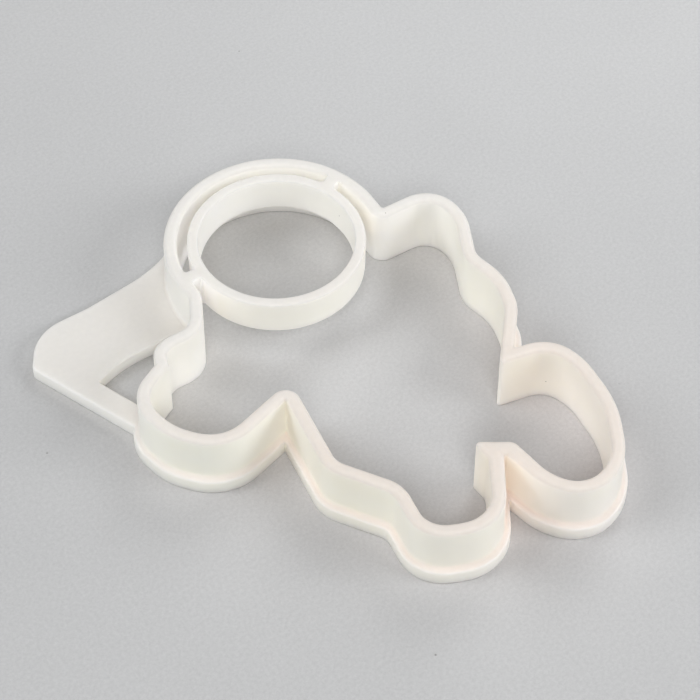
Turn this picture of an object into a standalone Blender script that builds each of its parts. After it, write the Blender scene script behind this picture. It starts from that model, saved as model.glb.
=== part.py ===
"""Silicone food mould: a figure-shaped ring that holds an egg or batter in its outline in a pan.

The wall of the figure stands on a low flange. A yolk ring hangs inside the round helmet on two
webs, and a flat grip plate with a window runs off the flange at the figure's left shoulder.
All sizes are in millimetres. Seen from above, +Y is the top of the figure's head.
"""
import bpy
import bmesh
from math import atan2, ceil, cos, pi, radians, sin, tan
from mathutils import Vector

MM = 0.001

# Wall of the outline and the flange at its foot
WALL_HEIGHT = 17.7
WALL_THICKNESS = 3.3
RIM_ROUND = 0.8
FOOT_ROUND = 0.4
FLANGE_REACH = 1.7
FLANGE_HEIGHT = 4.3
FLANGE_ROUND = 0.4
FLANGE_FILLET_HEIGHT = 1.5
NOTCH_ROUND = 0.5

# Yolk ring, whose top is level with the rim
RING_BORE_RADIUS = 20.0
RING_BORE_TAPER = 0.2
RING_WALL = 2.8
RING_WALL_TAPER = 0.2
RING_HEIGHT = 9.9
RING_ROUND = 0.6
RING_TO_HELMET = 2.7
RING_STEPS = 72

# Webs that carry the ring, as deep as the ring
WEB_WIDTH = 3.0
WEB_FLARE = 1.1
WEB_FLARE_ROUND = 1.0
WEB_LEFT_ANGLE = radians(174.0)
WEB_RIGHT_ANGLE = radians(18.5)

# Grip plate, level with the flange that it runs off
GRIP_THICKNESS = FLANGE_HEIGHT
GRIP_ROUND = 0.6
GRIP_OUTER_ROUND = 13.0
GRIP_CORNER_ROUND = 2.0
GRIP_FLARE_ROUND = 40.0
GRIP_DIP_ROUND = 30.0
WINDOW_TIP_ROUND = 0.8
WINDOW_TOP_ROUND = 36.0

# Pieces that touch keep this hairline between them
SEAT = 0.3

# Cutters stand out this far past what they cut
CUTTER_OVERRUN = 3.0

# Corners that lie under the wall are cut away with it
HIDDEN_ROUND = 2.0

# Finest corner, and the turn that one straight facet takes
SMALLEST_ROUND = 0.3
FACET_TURN = radians(11.0)
FILLET_STEPS = 3
SHORTEST_STEP = 0.02
MERGE_DISTANCE = 0.002

# The helmet is concentric with the yolk ring. Its circle is held by a polygon of tangents.
HELMET_RADIUS = RING_BORE_RADIUS + RING_WALL + RING_TO_HELMET + WALL_THICKNESS
HELMET_LEFT_END = radians(182.0)
HELMET_RIGHT_END = radians(-6.0)
HELMET_CORNERS = 4

# The wall runs on straight from the helmet circle to the two neck corners
RIGHT_NECK_RUN = 4.5
LEFT_NECK_RUN = 1.3
LEFT_NECK_ROUND = 3.8

# Corners of the wall's outer face, clockwise from the right side of the neck.
# x and y are measured from the lowest point of the helmet circle, and r rounds the corner.
BODY_CORNERS = (
    # name, x, y, r
    ("right_arm_top", 43.1, 19.9, 9.5),
    ("right_arm_side", 44.7, 7.3, 16.4),
    ("right_elbow", 37.5, -5.6, 6.0),
    ("right_cuff", 38.8, -15.6, 18.7),
    ("right_glove", 35.3, -25.0, 12.4),
    ("right_hip", 25.6, -35.3, NOTCH_ROUND),
    ("right_boot_top", 34.9, -37.8, 10.5),
    ("right_boot_instep", 37.3, -48.2, 20.9),
    ("right_boot_side", 34.6, -63.7, 32.5),
    ("right_boot_heel", 25.2, -78.2, 16.5),
    ("right_boot_sole", 10.7, -82.0, 10.8),
    ("right_boot_inside", 4.6, -70.9, 16.1),
    ("crotch", 3.1, -58.7, NOTCH_ROUND),
    ("left_boot_heel", -9.2, -75.5, 12.1),
    ("left_boot_sole", -19.5, -71.4, 29.7),
    ("left_boot_toe", -28.3, -66.7, 9.8),
    ("left_ankle", -25.1, -52.3, 6.5),
    ("left_knee", -33.6, -37.4, 8.9),
    ("left_hip", -28.6, -14.6, NOTCH_ROUND),
    ("left_glove_palm", -40.8, -17.2, 21.6),
    ("left_glove_low", -49.2, -18.9, 13.1),
    ("left_glove_end", -57.9, -6.8, 17.8),
    ("left_glove_top", -59.8, 8.4, 10.9),
    ("left_wrist", -47.7, 13.4, NOTCH_ROUND),
    ("left_cuff_side", -45.7, 17.6, 5.2),
    ("left_cuff_top", -40.9, 18.8, 7.1),
    ("left_elbow", -34.0, 18.2, 5.1),
)

# On the cavity side the tip of the crotch is cut off straight between these two corners
CROTCH_CUT = (
    # x, y, r, facets
    (7.2, -57.6, 3.0, 6),
    (0.2, -52.0, 0.9, 5),
)

# These notches stay sharp on the cavity side too, with this radius
CAVITY_ROUNDS = {
    "right_hip": 0.8,
    "left_wrist": 0.6,
}

# The grip plate and its window, in the same frame; both run on under the wall
GRIP_CORNERS = (
    ("under_helmet", -10.0, 55.7, HIDDEN_ROUND),
    ("shoulder_flare", -26.0, 49.2, GRIP_FLARE_ROUND),
    ("top_dip", -46.0, 48.5, GRIP_DIP_ROUND),
    ("outer_top", -60.8, 49.5, GRIP_OUTER_ROUND),
    ("outer_corner", -67.7, 40.1, GRIP_CORNER_ROUND),
    ("under_glove", -54.6, 0.0, HIDDEN_ROUND),
    ("under_arm", -20.0, 0.0, HIDDEN_ROUND),
    ("under_neck", -5.0, 45.0, HIDDEN_ROUND),
)
WINDOW_CORNERS = (
    ("tip", -56.7, 26.3, WINDOW_TIP_ROUND),
    ("top_bend", -48.7, 29.2, WINDOW_TOP_ROUND),
    ("under_elbow", -28.0, 27.0, HIDDEN_ROUND),
    ("under_cuff", -28.0, 5.0, HIDDEN_ROUND),
    ("under_palm", -49.9, 5.0, HIDDEN_ROUND),
)


def clear_scene():
    for thing in list(bpy.data.objects):
        bpy.data.objects.remove(thing, do_unlink=True)
    for group in list(bpy.data.collections):
        bpy.data.collections.remove(group)


def new_collection(name):
    group = bpy.data.collections.new(name)
    bpy.context.scene.collection.children.link(group)
    return group


def silicone(name, color, roughness):
    """Milky white silicone rubber with a satin skin."""
    material = bpy.data.materials.new(name)
    material.use_nodes = True
    shader = material.node_tree.nodes["Principled BSDF"]
    shader.inputs["Base Color"].default_value = (*color, 1.0)
    shader.inputs["Roughness"].default_value = roughness
    shader.inputs["Metallic"].default_value = 0.0
    return material


def add_object(name, mesh, group, origin, material=None):
    thing = bpy.data.objects.new(name, mesh)
    group.objects.link(thing)
    thing.parent = origin
    if material:
        mesh.materials.append(material)
    return thing


def polar(radius, angle):
    return Vector((radius * cos(angle), radius * sin(angle)))


def turned(vector, angle):
    return Vector((vector.x * cos(angle) - vector.y * sin(angle),
                   vector.x * sin(angle) + vector.y * cos(angle)))


def from_helmet_foot(x, y):
    """A place measured from the lowest point of the helmet circle, in the ring's own frame."""
    return Vector((x, y - HELMET_RADIUS))


def turn_at(points, i):
    """Signed turn at a corner of a closed polygon; positive is to the left."""
    before = points[i] - points[i - 1]
    after = points[(i + 1) % len(points)] - points[i]
    return atan2(before.x * after.y - before.y * after.x, before.dot(after))


def facet_counts(points):
    return [max(2, ceil(abs(turn_at(points, i)) / FACET_TURN)) for i in range(len(points))]


def rounded(points, radii, facets):
    """Path round a polygon with rounded corners; a radius is limited where its sides run out."""
    count = len(points)
    turns = [turn_at(points, i) for i in range(count)]
    reach = [radii[i] * tan(abs(turns[i]) / 2) for i in range(count)]
    sides = [(points[(i + 1) % count] - points[i]).length for i in range(count)]
    room = [min(1.0, sides[i] / (reach[i] + reach[(i + 1) % count])) for i in range(count)]
    path = []
    for i in range(count):
        share = min(room[i - 1], room[i])
        along = (points[i] - points[i - 1]).normalized()
        start = points[i] - along * reach[i] * share
        towards_centre = turned(along, pi / 2 if turns[i] > 0 else -pi / 2)
        centre = start + towards_centre * radii[i] * share
        for k in range(facets[i] + 1):
            path.append(centre + turned(start - centre, turns[i] * k / facets[i]))
    return path


def rounded_shape(corners):
    """Path of a named list of corners in the figure's frame."""
    points = [from_helmet_foot(x, y) for name, x, y, radius in corners]
    return rounded(points, [corner[3] for corner in corners], facet_counts(points))


def outline_corners():
    """Names, places and radii of every corner of the wall's outer face, clockwise."""
    span = (HELMET_LEFT_END - HELMET_RIGHT_END) / HELMET_CORNERS
    tangent_radius = HELMET_RADIUS / cos(span / 2)
    corners = [("helmet", polar(tangent_radius, HELMET_LEFT_END - span * (k + 0.5)), HELMET_RADIUS)
               for k in range(HELMET_CORNERS)]
    right_end = polar(HELMET_RADIUS, HELMET_RIGHT_END)
    right_run = polar(RIGHT_NECK_RUN, HELMET_RIGHT_END - pi / 2)
    corners.append(("right_neck", right_end + right_run, NOTCH_ROUND))
    corners += [(name, from_helmet_foot(x, y), radius) for name, x, y, radius in BODY_CORNERS]
    left_end = polar(HELMET_RADIUS, HELMET_LEFT_END)
    left_run = polar(LEFT_NECK_RUN, HELMET_LEFT_END + pi / 2)
    corners.append(("left_neck", left_end + left_run, LEFT_NECK_ROUND))
    return corners


def outline(reach):
    """Path of the figure's outline, this far outside the wall's outer face, or inside if negative."""
    corners = outline_corners()
    points = [point for name, point, radius in corners]
    facets = facet_counts(points)
    depth = max(0.0, -reach / WALL_THICKNESS)
    moved = []
    for i, (name, point, radius) in enumerate(corners):
        if name == "crotch":
            facets[i] = sum(cut_facets for x, y, r, cut_facets in CROTCH_CUT) + 1
        if name == "crotch" and depth > 0:
            for x, y, cut_radius, cut_facets in CROTCH_CUT:
                place = point.lerp(from_helmet_foot(x, y), depth)
                moved.append((place, radius + (cut_radius - radius) * depth, cut_facets))
            continue
        before = (point - points[i - 1]).normalized()
        after = (points[(i + 1) % len(points)] - point).normalized()
        outward = turned(before, pi / 2) + turned(after, pi / 2)
        place = point + outward * reach / (1 + before.dot(after))
        new_radius = radius - reach if turn_at(points, i) > 0 else radius + reach
        if name in CAVITY_ROUNDS and depth > 0:
            new_radius = radius + (CAVITY_ROUNDS[name] - radius) * depth
        moved.append((place, max(new_radius, SMALLEST_ROUND), facets[i]))
    return rounded(*zip(*moved))


def quarter(across, height, radius, start, steps=2):
    """Quarter circle of a section about a centre, turning left from a start angle in degrees."""
    angles = [radians(start + 90.0 * k / steps) for k in range(steps + 1)]
    return [(across + radius * cos(angle), height + radius * sin(angle)) for angle in angles]


def wall_section():
    """Section of the wall as pairs of reach and height: up the outside, over the rim, down inside."""
    ledge = FLANGE_REACH - FLANGE_ROUND
    outside = [
        (FLANGE_REACH - FOOT_ROUND, 0.0),
        (FLANGE_REACH, FOOT_ROUND),
        (FLANGE_REACH, FLANGE_HEIGHT - FLANGE_ROUND),
    ]
    for k in range(FILLET_STEPS + 1):
        angle = pi / 2 * k / FILLET_STEPS
        rise = FLANGE_FILLET_HEIGHT * (1 - cos(angle))
        outside.append((ledge * (1 - sin(angle)), FLANGE_HEIGHT + rise))
    over_rim = quarter(-RIM_ROUND, WALL_HEIGHT - RIM_ROUND, RIM_ROUND, 0)
    over_rim += quarter(RIM_ROUND - WALL_THICKNESS, WALL_HEIGHT - RIM_ROUND, RIM_ROUND, 90)
    inside = [(-WALL_THICKNESS, FOOT_ROUND), (FOOT_ROUND - WALL_THICKNESS, 0.0)]
    return outside + over_rim + inside


def finish_mesh(name, bm):
    """Welds a bmesh in millimetres, turns its faces outward and makes it a smooth mesh in metres."""
    bmesh.ops.remove_doubles(bm, verts=bm.verts[:], dist=MERGE_DISTANCE)
    bmesh.ops.recalc_face_normals(bm, faces=bm.faces[:])
    bmesh.ops.scale(bm, vec=(MM, MM, MM), verts=bm.verts[:])
    mesh = bpy.data.meshes.new(name)
    bm.to_mesh(mesh)
    bm.free()
    mesh.shade_smooth()
    mesh.set_sharp_from_angle(angle=radians(40.0))
    return mesh


def swept_wall(name):
    """Loft of the wall's section through parallel outlines, which change shape round the notches."""
    bm = bmesh.new()
    loops = []
    for reach, height in wall_section():
        loops.append([bm.verts.new((p.x, p.y, height)) for p in outline(reach)])
    count = len(loops[0])
    for k, lower in enumerate(loops):
        upper = loops[(k + 1) % len(loops)]
        for i in range(count):
            j = (i + 1) % count
            bm.faces.new((lower[i], lower[j], upper[j], upper[i]))
    return finish_mesh(name, bm)


def without_repeats(path):
    return [path[i] for i in range(len(path)) if (path[i] - path[i - 1]).length > SHORTEST_STEP]


def flat_shape(name, paths, bottom, top, edge_round=0.0):
    """Plate between two heights from closed paths, the first its edge and the rest its holes."""
    curve = bpy.data.curves.new(name, "CURVE")
    curve.dimensions = "2D"
    curve.fill_mode = "BOTH"
    curve.extrude = (top - bottom) / 2 - edge_round
    curve.bevel_depth = edge_round
    curve.bevel_resolution = 1
    curve.offset = -edge_round
    for path in map(without_repeats, paths):
        spline = curve.splines.new("POLY")
        spline.points.add(len(path) - 1)
        spline.use_cyclic_u = True
        for point, place in zip(spline.points, path):
            point.co = (place.x, place.y, 0.0, 1.0)
    maker = bpy.data.objects.new(name, curve)
    bpy.context.scene.collection.objects.link(maker)
    evaluated = maker.evaluated_get(bpy.context.evaluated_depsgraph_get())
    mesh = bpy.data.meshes.new_from_object(evaluated)
    bm = bmesh.new()
    bm.from_mesh(mesh)
    bmesh.ops.translate(bm, vec=(0, 0, (bottom + top) / 2), verts=bm.verts[:])
    bpy.data.objects.remove(maker, do_unlink=True)
    bpy.data.curves.remove(curve)
    bpy.data.meshes.remove(mesh)
    return finish_mesh(name, bm)


def turned_profile(name, profile, group, origin, material=None):
    """Solid of revolution from a closed profile of radius and height, run down its outer side."""
    mesh = bpy.data.meshes.new(name)
    places = [(radius * MM, 0.0, height * MM) for radius, height in profile]
    sides = [(i, (i + 1) % len(places)) for i in range(len(places))]
    mesh.from_pydata(places, sides, [])
    thing = add_object(name, mesh, group, origin, material)
    screw = thing.modifiers.new("turn", "SCREW")
    screw.axis = "Z"
    screw.angle = 2 * pi
    screw.steps = RING_STEPS
    screw.render_steps = RING_STEPS
    screw.use_smooth_shade = True
    screw.use_merge_vertices = True
    screw.merge_threshold = MERGE_DISTANCE * MM
    return thing


def ring_profile():
    """Closed section of the yolk ring, with a rounded top edge and walls that taper downwards."""
    top = WALL_HEIGHT
    bottom = WALL_HEIGHT - RING_HEIGHT
    outer = RING_BORE_RADIUS + RING_WALL
    bore_foot = RING_BORE_RADIUS - RING_BORE_TAPER
    outer_foot = outer - RING_WALL_TAPER
    profile = quarter(outer - RING_ROUND, top - RING_ROUND, RING_ROUND, 0)[::-1]
    profile += [(outer_foot, bottom + FOOT_ROUND), (outer_foot - FOOT_ROUND, bottom)]
    profile += [(bore_foot + FOOT_ROUND, bottom), (bore_foot, bottom + FOOT_ROUND)]
    profile += quarter(RING_BORE_RADIUS + RING_ROUND, top - RING_ROUND, RING_ROUND, 90)[::-1]
    return profile


def add_boolean(thing, cutter, operation):
    boolean = thing.modifiers.new(operation.lower() + "_" + cutter.name, "BOOLEAN")
    boolean.operation = operation
    boolean.object = cutter
    boolean.solver = "EXACT"


def as_cutter(thing):
    thing.hide_render = True
    thing.display_type = "WIRE"
    return thing


def make_outline_wall(parts, origin, material):
    mesh = swept_wall("outline_wall")
    return add_object("outline_wall", mesh, parts, origin, material)


def make_yolk_ring(parts, origin, material):
    return turned_profile("yolk_ring", ring_profile(), parts, origin, material)


def make_ring_web(name, angle, parts, origin, material, cutters):
    """Bridge between ring and helmet, flared at both ends where it meets them."""
    ring_face = RING_BORE_RADIUS + RING_WALL
    start = ring_face - RING_WALL / 2
    end = ring_face + RING_TO_HELMET + WALL_THICKNESS / 2
    half = WEB_WIDTH / 2
    wide = half + WEB_FLARE
    flare_end = ring_face + WEB_FLARE_ROUND / 2
    flare_start = ring_face + RING_TO_HELMET - WEB_FLARE_ROUND / 2
    side = [(start, wide), (ring_face, wide), (flare_end, half), (flare_start, half),
            (ring_face + RING_TO_HELMET, wide), (end, wide)]
    points = [Vector(place) for place in side]
    points += [Vector((x, -y)) for x, y in reversed(side)]
    radii = [SMALLEST_ROUND if abs(point.y) > half else WEB_FLARE_ROUND for point in points]
    path = [turned(place, angle) for place in rounded(points, radii, facet_counts(points))]
    mesh = flat_shape(name, [path], WALL_HEIGHT - RING_HEIGHT, WALL_HEIGHT)
    web = add_object(name, mesh, parts, origin, material)
    add_boolean(web, cutters["cavity_room"], "INTERSECT")
    add_boolean(web, cutters["ring_room"], "DIFFERENCE")
    return web


def make_grip_plate(parts, origin, material, cutters):
    mesh = flat_shape("grip_plate", [rounded_shape(GRIP_CORNERS), rounded_shape(WINDOW_CORNERS)],
                      0.0, GRIP_THICKNESS, GRIP_ROUND)
    plate = add_object("grip_plate", mesh, parts, origin, material)
    add_boolean(plate, cutters["flange_room"], "DIFFERENCE")
    return plate


def make_cutters(group, origin):
    """Rooms that neighbours keep clear: round the flange, inside the wall and round the ring."""
    low = -CUTTER_OVERRUN
    high = WALL_HEIGHT + CUTTER_OVERRUN
    flange_room = flat_shape("flange_room", [outline(FLANGE_REACH + SEAT)], low, high)
    cavity_room = flat_shape("cavity_room", [outline(-WALL_THICKNESS - SEAT)], low, high)
    ring_outer = RING_BORE_RADIUS + RING_WALL + SEAT
    ring_foot = ring_outer - RING_WALL_TAPER
    bottom = WALL_HEIGHT - RING_HEIGHT
    ring_profile_points = [(0.001, high), (ring_outer, high), (ring_outer, WALL_HEIGHT - RING_ROUND),
                           (ring_foot, bottom), (ring_foot, low), (0.001, low)]
    cutters = {
        "flange_room": add_object("flange_room", flange_room, group, origin),
        "cavity_room": add_object("cavity_room", cavity_room, group, origin),
        "ring_room": turned_profile("ring_room", ring_profile_points, group, origin),
    }
    for cutter in cutters.values():
        as_cutter(cutter)
    return cutters


def stand_on_origin(parts, origin):
    """Moves the origin so that the model's box is centred on it and stands on the ground."""
    depsgraph = bpy.context.evaluated_depsgraph_get()
    places = []
    for thing in parts.objects:
        if thing.type == "MESH":
            evaluated = thing.evaluated_get(depsgraph)
            places += [evaluated.matrix_world @ Vector(corner) for corner in evaluated.bound_box]
    low = [min(place[i] for place in places) for i in range(3)]
    high = [max(place[i] for place in places) for i in range(3)]
    origin.location = (-(low[0] + high[0]) / 2, -(low[1] + high[1]) / 2, -low[2])
    bpy.context.view_layer.update()


def main():
    clear_scene()
    parts = new_collection("silicone_food_mould")
    cutter_group = new_collection("cutters")
    origin = bpy.data.objects.new("mould_origin", None)
    parts.objects.link(origin)

    cutters = make_cutters(cutter_group, origin)
    make_outline_wall(parts, origin, silicone("wall_silicone", (0.80, 0.78, 0.72), 0.45))
    make_yolk_ring(parts, origin, silicone("ring_silicone", (0.82, 0.80, 0.74), 0.45))
    web_material = silicone("web_silicone", (0.82, 0.80, 0.74), 0.45)
    make_ring_web("ring_web_left", WEB_LEFT_ANGLE, parts, origin, web_material, cutters)
    make_ring_web("ring_web_right", WEB_RIGHT_ANGLE, parts, origin, web_material.copy(), cutters)
    make_grip_plate(parts, origin, silicone("grip_silicone", (0.78, 0.76, 0.71), 0.5), cutters)
    stand_on_origin(parts, origin)


main()
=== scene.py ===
# %% [markdown]
# A silicone food mould on a grey table
#
# The real object is one shot of milky white silicone rubber. A low wall follows the outline of a waving
# figure, a ring for the egg yolk hangs in the round head on two short webs, and a flat grip runs off the
# foot beside the shoulder. It has no floor: the pan, or here the table, shows through every cavity.
#
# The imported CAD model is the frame. It keeps the moulding as five solids with hairlines between them,
# so this scene grows a finer skin of one piece over the same sizes and lets it stand for all five.

# %% Load the frame
import bpy
import bmesh
from math import atan2, ceil, cos, pi, radians, sin, tan
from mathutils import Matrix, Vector


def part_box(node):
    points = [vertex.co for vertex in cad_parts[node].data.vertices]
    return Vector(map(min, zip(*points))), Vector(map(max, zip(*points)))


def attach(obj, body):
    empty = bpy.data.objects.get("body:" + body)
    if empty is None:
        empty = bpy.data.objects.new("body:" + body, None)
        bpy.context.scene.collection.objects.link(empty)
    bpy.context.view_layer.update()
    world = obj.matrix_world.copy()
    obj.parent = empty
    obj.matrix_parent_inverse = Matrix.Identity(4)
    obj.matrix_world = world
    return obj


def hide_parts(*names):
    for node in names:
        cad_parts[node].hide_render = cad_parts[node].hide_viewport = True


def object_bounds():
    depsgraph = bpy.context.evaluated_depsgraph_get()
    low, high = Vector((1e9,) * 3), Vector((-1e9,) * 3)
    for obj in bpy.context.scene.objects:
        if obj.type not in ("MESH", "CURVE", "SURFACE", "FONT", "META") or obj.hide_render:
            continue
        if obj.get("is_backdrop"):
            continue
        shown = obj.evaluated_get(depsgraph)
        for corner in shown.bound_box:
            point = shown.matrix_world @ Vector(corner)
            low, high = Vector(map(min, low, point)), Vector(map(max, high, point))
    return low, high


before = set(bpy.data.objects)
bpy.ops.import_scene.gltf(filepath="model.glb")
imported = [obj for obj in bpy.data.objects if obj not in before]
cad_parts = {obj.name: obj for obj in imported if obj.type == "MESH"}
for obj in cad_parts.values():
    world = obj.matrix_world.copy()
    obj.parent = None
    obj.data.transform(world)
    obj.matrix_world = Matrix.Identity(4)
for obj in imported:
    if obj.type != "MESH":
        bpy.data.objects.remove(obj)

MM = 0.001
cad_box = [list(corner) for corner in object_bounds()]
ring_low, ring_high = (Vector(corner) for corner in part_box("yolk_ring"))
ring_centre = (ring_low + ring_high) / 2
print("frame:", len(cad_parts), "solids, ring centre", [round(v / MM, 2) for v in ring_centre])

# %% [markdown]
# Sizes
#
# All sizes are in millimetres, and nearly all are the ones that the CAD solids were made with, so that the
# skin fills the same space. The edges of the rim and the flange are softer here, the webs are wider and
# flare less, and the crotch has a rounder nose on the cavity side. The wall stands on a flange, and a small
# fillet leads from one into the other. Moulded rubber has no sharp edge anywhere, because a mould is cut
# with round tools and the rubber shrinks a little as it cures.

# %% Sizes of the wall, the yolk ring, the webs and the grip
WALL_HEIGHT = 17.7
WALL_THICKNESS = 3.3
RIM_ROUND = 1.1
FOOT_ROUND = 0.4
FLANGE_REACH = 1.7
FLANGE_HEIGHT = 4.3
FLANGE_ROUND = 0.7
FLANGE_FILLET = 1.3
NOTCH_ROUND = 0.5

RING_BORE_RADIUS = 20.0
RING_WALL = 2.8
RING_TAPER = 0.2
RING_HEIGHT = 9.9
RING_ROUND = 0.6
RING_TO_HELMET = 2.7

WEB_WIDTH = 3.4
WEB_FLARE = 0.6
WEB_FLARE_ROUND = 0.5
WEB_ANGLES = (radians(174.0), radians(18.5))

GRIP_THICKNESS = FLANGE_HEIGHT
GRIP_ROUND = 0.6

# Rounding of the plate's corners that are out of sight under the figure, and the least of any corner
HIDDEN_ROUND = 2.0
SMALLEST_ROUND = 0.3

# Turn from one facet of a round corner to the next, and the fewest facets that a corner gets
FACET_TURN = radians(4.0)
FEWEST_FACETS = 4
print("mould", WALL_HEIGHT, "mm high, wall", WALL_THICKNESS, "mm thick, yolk ring", RING_BORE_RADIUS * 2,
      "mm wide inside")

# %% [markdown]
# The figure's outline
#
# A long smooth outline is easiest to keep as the few corners that a designer would draw, each with the
# radius that rounds it. A Bezier curve could hold it too, but its handles don't say how round a corner is.
# The head is a true circle round the yolk ring, held by four tangents, and the two neck corners go on from
# its ends. All other corners are measured from the lowest point of that circle.

# %% Corners of the outline, the crotch, the grip and its window
HELMET_RADIUS = RING_BORE_RADIUS + RING_WALL + RING_TO_HELMET + WALL_THICKNESS
HELMET_LEFT_END = radians(182.0)
HELMET_RIGHT_END = radians(-6.0)
HELMET_CORNERS = 4
RIGHT_NECK_RUN = 4.5
LEFT_NECK_RUN = 1.3
LEFT_NECK_ROUND = 3.8

BODY_CORNERS = (
    # name, x, y, radius
    ("right_arm_top", 43.1, 19.9, 9.5),
    ("right_arm_side", 44.7, 7.3, 16.4),
    ("right_elbow", 37.5, -5.6, 6.0),
    ("right_cuff", 38.8, -15.6, 18.7),
    ("right_glove", 35.3, -25.0, 12.4),
    ("right_hip", 25.6, -35.3, NOTCH_ROUND),
    ("right_boot_top", 34.9, -37.8, 10.5),
    ("right_boot_instep", 37.3, -48.2, 20.9),
    ("right_boot_side", 34.6, -63.7, 32.5),
    ("right_boot_heel", 25.2, -78.2, 16.5),
    ("right_boot_sole", 10.7, -82.0, 10.8),
    ("right_boot_inside", 4.6, -70.9, 16.1),
    ("crotch", 3.1, -58.7, NOTCH_ROUND),
    ("left_boot_heel", -9.2, -75.5, 12.1),
    ("left_boot_sole", -19.5, -71.4, 29.7),
    ("left_boot_toe", -28.3, -66.7, 9.8),
    ("left_ankle", -25.1, -52.3, 6.5),
    ("left_knee", -33.6, -37.4, 8.9),
    ("left_hip", -28.6, -14.6, NOTCH_ROUND),
    ("left_glove_palm", -40.8, -17.2, 21.6),
    ("left_glove_low", -49.2, -18.9, 13.1),
    ("left_glove_end", -57.9, -6.8, 17.8),
    ("left_glove_top", -59.8, 8.4, 10.9),
    ("left_wrist", -47.7, 13.4, NOTCH_ROUND),
    ("left_cuff_side", -45.7, 17.6, 5.2),
    ("left_cuff_top", -40.9, 18.8, 7.1),
    ("left_elbow", -34.0, 18.2, 5.1),
)

# The cavity side of the crotch is a blunt nose with these corners
CROTCH_NOSE = (
    # x, y, radius, facets
    (7.2, -57.6, 3.0, 16),
    (-0.8, -51.6, 0.9, 14),
    (-0.9, -57.8, 4.0, 8),
)

# These notches stay sharp on the cavity side too
CAVITY_ROUNDS = {"right_hip": 0.8, "left_wrist": 0.6}

GRIP_CORNERS = (
    # name, x, y, radius
    ("under_helmet", -10.0, 55.7, HIDDEN_ROUND),
    ("shoulder_flare", -26.0, 49.2, 40.0),
    ("top_dip", -46.0, 48.5, 30.0),
    ("outer_top", -60.8, 49.5, 13.0),
    ("outer_corner", -67.7, 40.1, 2.0),
    ("under_glove", -54.6, 0.0, HIDDEN_ROUND),
    ("under_arm", -20.0, 0.0, HIDDEN_ROUND),
    ("under_neck", -5.0, 45.0, HIDDEN_ROUND),
)
WINDOW_CORNERS = (
    # name, x, y, radius
    ("tip", -56.7, 26.3, 0.8),
    ("top_bend", -48.7, 29.2, 36.0),
    ("under_elbow", -28.0, 27.0, HIDDEN_ROUND),
    ("under_cuff", -28.0, 5.0, HIDDEN_ROUND),
    ("under_palm", -49.9, 5.0, HIDDEN_ROUND),
)
print(len(BODY_CORNERS), "corners on the body,", HELMET_CORNERS, "round the helmet of radius", HELMET_RADIUS)

# %% [markdown]
# Rounding corners
#
# A mould maker's cutter leaves a round corner everywhere, wide on an elbow and tight in a notch. A Bevel
# modifier would give them all one width. So each corner is rounded by an arc of its own that touches both
# of its sides, and where two arcs would meet on a short side, both give way in proportion. The same
# function serves the figure, the grip, its window and the webs, so all of them bend in steps of the same
# small angle.


# %% Arcs for corners
def polar(radius, angle):
    return Vector((radius * cos(angle), radius * sin(angle)))


def turned(vector, angle):
    return Vector((vector.x * cos(angle) - vector.y * sin(angle),
                   vector.x * sin(angle) + vector.y * cos(angle)))


def from_helmet_foot(x, y):
    return Vector((x, y - HELMET_RADIUS))


def turn_at(points, i):
    """Signed turn at a corner of a closed polygon; positive is to the left."""
    before = points[i] - points[i - 1]
    after = points[(i + 1) % len(points)] - points[i]
    return atan2(before.x * after.y - before.y * after.x, before.dot(after))


def facet_counts(points):
    return [max(FEWEST_FACETS, ceil(abs(turn_at(points, i)) / FACET_TURN)) for i in range(len(points))]


def rounded(points, radii, facets):
    """Path round a polygon with rounded corners."""
    count = len(points)
    turns = [turn_at(points, i) for i in range(count)]
    reach = [radii[i] * tan(abs(turns[i]) / 2) for i in range(count)]
    sides = [(points[(i + 1) % count] - points[i]).length for i in range(count)]
    room = [min(1.0, sides[i] / (reach[i] + reach[(i + 1) % count])) for i in range(count)]
    path = []
    for i in range(count):
        share = min(room[i - 1], room[i])
        along = (points[i] - points[i - 1]).normalized()
        start = points[i] - along * reach[i] * share
        towards_centre = turned(along, pi / 2 if turns[i] > 0 else -pi / 2)
        centre = start + towards_centre * radii[i] * share
        for k in range(facets[i] + 1):
            path.append(centre + turned(start - centre, turns[i] * k / facets[i]))
    return path


def rounded_shape(corners):
    points = [from_helmet_foot(x, y) for name, x, y, radius in corners]
    radii = [radius for name, x, y, radius in corners]
    return rounded(points, radii, facet_counts(points))


print("a square corner is rounded in", ceil(pi / 2 / FACET_TURN), "steps")

# %% [markdown]
# One outline, seen from outside and from inside
#
# The wall has the same thickness all round, so its cavity side and its flange run parallel to the
# outline. Simply pushing the points sideways would tangle them in the sharp notches at hip, crotch and
# wrist. So the corners are moved first, each radius grows or shrinks with them, and only then are they
# rounded. Every such outline has the same number of points, so they can be joined point by point.


# %% Outlines at any reach from the wall's outer face
def outline_corners():
    """Names, places and radii of every corner of the wall's outer face, clockwise."""
    span = (HELMET_LEFT_END - HELMET_RIGHT_END) / HELMET_CORNERS
    tangent_radius = HELMET_RADIUS / cos(span / 2)
    corners = [("helmet", polar(tangent_radius, HELMET_LEFT_END - span * (k + 0.5)), HELMET_RADIUS)
               for k in range(HELMET_CORNERS)]
    right_end = polar(HELMET_RADIUS, HELMET_RIGHT_END)
    right_run = polar(RIGHT_NECK_RUN, HELMET_RIGHT_END - pi / 2)
    corners.append(("right_neck", right_end + right_run, NOTCH_ROUND))
    corners += [(name, from_helmet_foot(x, y), radius) for name, x, y, radius in BODY_CORNERS]
    left_end = polar(HELMET_RADIUS, HELMET_LEFT_END)
    left_run = polar(LEFT_NECK_RUN, HELMET_LEFT_END + pi / 2)
    corners.append(("left_neck", left_end + left_run, LEFT_NECK_ROUND))
    return corners


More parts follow.
